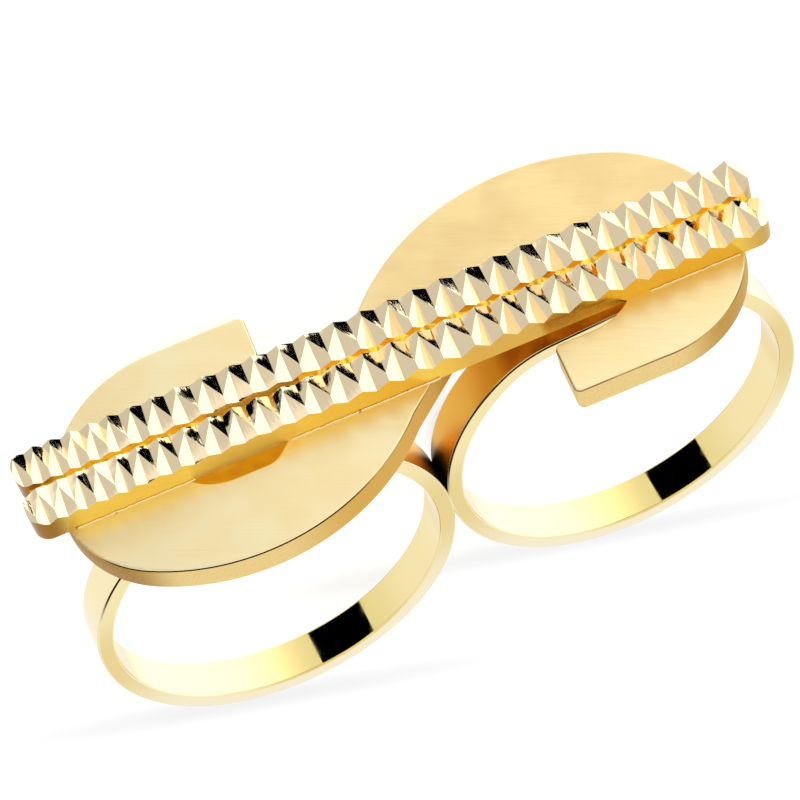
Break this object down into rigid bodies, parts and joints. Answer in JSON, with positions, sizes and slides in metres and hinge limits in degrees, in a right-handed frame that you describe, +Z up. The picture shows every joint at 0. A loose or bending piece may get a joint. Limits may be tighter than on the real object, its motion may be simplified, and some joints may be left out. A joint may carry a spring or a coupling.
{
  "type": "two finger ring",
  "caption": "Gold ring worn across a pair of fingers: flat finger bands under an S shaped plate with diamond cut bars along its middle.",
  "frame": {"origin": "middle of the foot of the ring's bounding box as it lies on its side, on the floor", "axes": "+Z up from the floor, +X along the plate's length, -Y out of the face of the plate"},
  "size_m": [0.038, 0.0218, 0.0137],
  "materials": {
    "gold": "high polish on the bands, satin on the plate, diamond cut facets on the bars"
  },
  "bodies": {
    "root": {"ring_body": "gold"}
  },
  "joints": []
}
